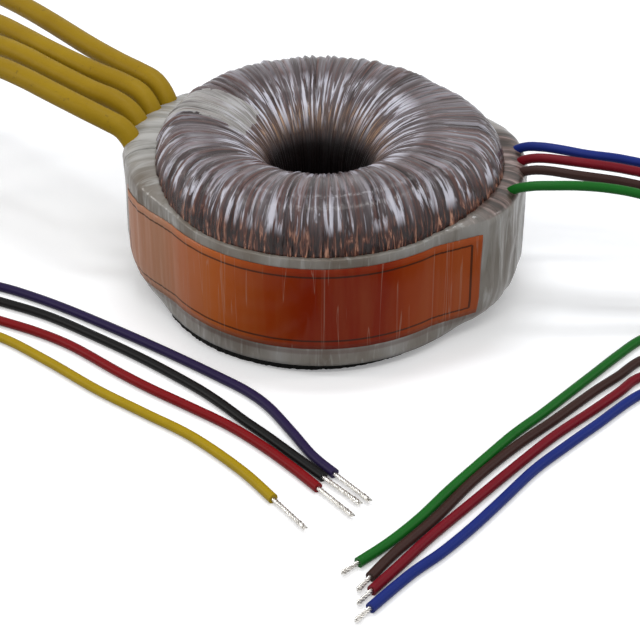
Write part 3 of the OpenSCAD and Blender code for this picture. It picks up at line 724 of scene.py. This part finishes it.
def addLabel():
    bm = bmesh.new()
    bmesh.ops.create_grid(bm, x_segments=label["columns"], y_segments=label["rows"], size=0.5)
    place = {}
    for v in bm.verts:
        u, w = v.co.x + 0.5, v.co.y + 0.5
        place[v] = (u, w)
        a = (label["start"] + label["turn"] * u + 180) % 360 - 180
        z = label["lower"] + label["height"] * w
        share = (z - band["lower"]) / (bandTop(a) - band["lower"])
        r = bandFace(a, share) + band["thickness"] + foldAt(a, share) + label["over"]
        v.co = ringPoint(r, math.radians(a), z)
    setUV(bm, place)
    if max(bm.faces, key=lambda face: -face.calc_center_median().y).normal.y > 0:
        bmesh.ops.reverse_faces(bm, faces=bm.faces)
    return solidified(meshObject("orangeLabel", bm), label["thickness"])


def ruleMask(tree, u, w):  # thin rule inside the label's edge
    def lineAt(value, middle, half):
        away = maths(tree, "ABSOLUTE", maths(tree, "SUBTRACT", value, middle))
        return maths(tree, "LESS_THAN", away, half)

    def bothEdges(value, inset, half):
        return maths(tree, "MAXIMUM", lineAt(value, inset, half), lineAt(value, 1 - inset, half))

    def within(value, inset):
        over = maths(tree, "GREATER_THAN", value, inset)
        return times(tree, over, maths(tree, "LESS_THAN", value, 1 - inset))
    (insetU, insetW), (halfU, halfW) = label["ruleInset"], label["ruleWidth"]
    long = times(tree, bothEdges(w, insetW, halfW), within(u, insetU))
    short = times(tree, bothEdges(u, insetU, halfU), within(w, insetW))
    return maths(tree, "MAXIMUM", long, short)


def labelMaterial():
    mat, tree, shader = newMaterial("orangeLabel", Roughness=0.45, Specular_IOR_Level=0.04,
                                    Coat_Weight=0.12, Coat_Roughness=0.12)
    uv = addNode(tree, "UVMap").outputs["UV"]
    u, w = addNode(tree, "SeparateXYZ", Vector=uv).outputs[:2]
    tall = addNode(tree, "Mapping", Vector=uv, Scale=(26, 0.6, 1)).outputs[0]
    # painted light along the label: darker in the middle, paler towards the ends
    shade = ramp(tree, u, *label["toneWithPaintedLight"])
    cloud = mask(tree, noiseOn(tree, tall, 1.0, 3, 0.5, 0.3), (0.45, 0), (0.75, 1))
    shade = mixColor(tree, times(tree, cloud, 0.15), shade, (0.40, 0.15, 0.05))
    shade = mixColor(tree, times(tree, ruleMask(tree, u, w), 0.8), shade, label["rule"])
    # edges of the clear film that is wound over the label, painted pale as highlights
    thin = addNode(tree, "Mapping", Vector=uv, Scale=(60, 0.35, 1)).outputs[0]
    overwrap = noiseOn(tree, thin, 1.0, 2, 0.5, 0.8)
    edges = mask(tree, overwrap, (0.62, 0), (0.64, 1), (0.67, 0))
    shade = mixColor(tree, times(tree, edges, 0.35), shade, (0.42, 0.27, 0.2))
    tree.links.new(shade, shader.inputs["Base Color"])
    bumpInto(tree, shader, overwrap, 0.4, 0.0004, "Coat Normal")
    return mat


sticker = addLabel()
sticker.data.materials.append(labelMaterial())
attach(sticker, "root")
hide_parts("label")
print("side band and label done")

# rubber pad with a rough cut edge
pad = {"diameter": 96, "bore": 9, "thickness": 3, "offset": -1.8, "ragged": 0.9, "steps": 420}


def addPad():
    bm = bmesh.new()
    rings = []
    for radius in (pad["diameter"] / 2, pad["bore"] / 2):
        made = bmesh.ops.create_circle(bm, segments=pad["steps"], radius=radius * mm)["verts"]
        rings += list({edge for v in made for edge in v.link_edges})
    for v in (v for v in bm.verts if v.co.length > pad["bore"] * mm):
        tooth = noise.noise(v.co * 900) + 0.6 * noise.noise(v.co * 2600)
        v.co *= 1 - pad["ragged"] / pad["diameter"] * (1 + tooth)
        v.co.x += pad["offset"] * mm
    bmesh.ops.bridge_loops(bm, edges=rings)
    raised = bmesh.ops.extrude_face_region(bm, geom=bm.faces[:])["geom"]
    corners = [g for g in raised if isinstance(g, bmesh.types.BMVert)]
    bmesh.ops.translate(bm, verts=corners, vec=(0, 0, pad["thickness"] * mm))
    bmesh.ops.recalc_face_normals(bm, faces=bm.faces)
    return meshObject("raggedPad", bm, False)


def padMaterial():
    mat, tree, shader = newMaterial("blackRubber", Roughness=0.8, Specular_IOR_Level=0.15)
    grain = noiseOn(tree, addNode(tree, "TexCoord").outputs["Object"], 1400, 4, 0.7)
    shade = ramp(tree, grain, (0.35, (0.003, 0.003, 0.003)), (0.7, (0.014, 0.013, 0.012)))
    tree.links.new(shade, shader.inputs["Base Color"])
    bumpInto(tree, shader, grain, 0.6, 0.0006)
    return mat


rubber = addPad()
rubber.data.materials.append(padMaterial())
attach(rubber, "root")
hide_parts("rubber_pad")
print("pad done")

# plain pieces kept from the frame
plain = {
    "primary_board": (0.60, 0.52, 0.34), "secondary_board": (0.60, 0.52, 0.34),
    "primary_joints": (0.55, 0.54, 0.52), "secondary_joints": (0.55, 0.54, 0.52),
    "barrier_film": (0.72, 0.62, 0.36), "primary_winding": (0.42, 0.16, 0.08),
    "core_jacket": (0.68, 0.62, 0.45), "steel_core": (0.2, 0.21, 0.22),
}


def dressPlain():
    for name, color in plain.items():
        metal = name.endswith(("joints", "core", "winding"))
        finish = {"Metallic": 0.8, "Roughness": 0.4} if metal else {"Metallic": 0.0, "Roughness": 0.65}
        mat, tree, shader = newMaterial(name, **finish)
        cloudy = noiseOn(tree, addNode(tree, "TexCoord").outputs["Object"], 300, 3)
        shade = mixColor(tree, cloudy, tuple(v * 0.8 for v in color), color)
        tree.links.new(shade, shader.inputs["Base Color"])
        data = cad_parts[name].data
        data.materials.clear()
        data.materials.append(mat)


dressPlain()

# floor, light and world


def backdropSeen(tree, path):  # rays that should meet plain white
    seen = maths(tree, "MAXIMUM", path.outputs["Is Camera Ray"], path.outputs["Is Transmission Ray"])
    return maths(tree, "MAXIMUM", seen, path.outputs["Is Glossy Ray"])


def addFloor():
    bm = bmesh.new()
    bmesh.ops.create_grid(bm, x_segments=1, y_segments=1, size=2.5)
    floor = meshObject("floor", bm, False)
    mat, tree, shader = newMaterial("floorWhite", Roughness=0.9, Specular_IOR_Level=0.1)
    path = addNode(tree, "LightPath")
    shade = mixColor(tree, path.outputs["Is Diffuse Ray"], (0.93, 0.93, 0.93), (0.4, 0.4, 0.4))
    tree.links.new(shade, shader.inputs["Base Color"])
    shader.inputs["Emission Color"].default_value = (1, 1, 1, 1)
    tree.links.new(times(tree, backdropSeen(tree, path), 0.2), shader.inputs["Emission Strength"])
    floor.data.materials.append(mat)


def addWorld():
    world = bpy.data.worlds.new("studio")
    scene.world = world
    world.use_nodes = True
    tree = world.node_tree
    back = tree.nodes["Background"]
    path = addNode(tree, "LightPath")
    shade = mixColor(tree, backdropSeen(tree, path), (0.50, 0.51, 0.53), (1, 1, 1))
    tree.links.new(shade, back.inputs["Color"])
    back.inputs["Strength"].default_value = 1.0


lamps = {
    "overhead": {"at": (0, 0.08, 0.6), "size": (0.22, 0.08), "power": 1.15, "color": (0.93, 0.96, 1)},
    "front": {"at": (0.03, -0.34, 0.5), "size": (0.34, 0.03), "power": 0.8, "color": (1, 0.99, 0.97)},
    "left": {"at": (-0.55, -0.05, 0.3), "size": (0.1, 0.2), "power": 0.8, "color": (1, 0.98, 0.95)},
    "right": {"at": (0.55, 0.0, 0.32), "size": (0.1, 0.2), "power": 0.45, "color": (1, 0.98, 0.96)},
}


def addLamps():
    for name, lamp in lamps.items():
        data = bpy.data.lights.new(name, "AREA")
        data.shape = "RECTANGLE"
        data.size, data.size_y = lamp["size"]
        data.energy = lamp["power"]
        data.color = lamp["color"]
        obj = addObject(name, data)
        obj.location = lamp["at"]
        obj.rotation_euler = (Vector((0, 0, 0.03)) - obj.location).to_track_quat("-Z", "Y").to_euler()


addFloor()
addWorld()
addLamps()
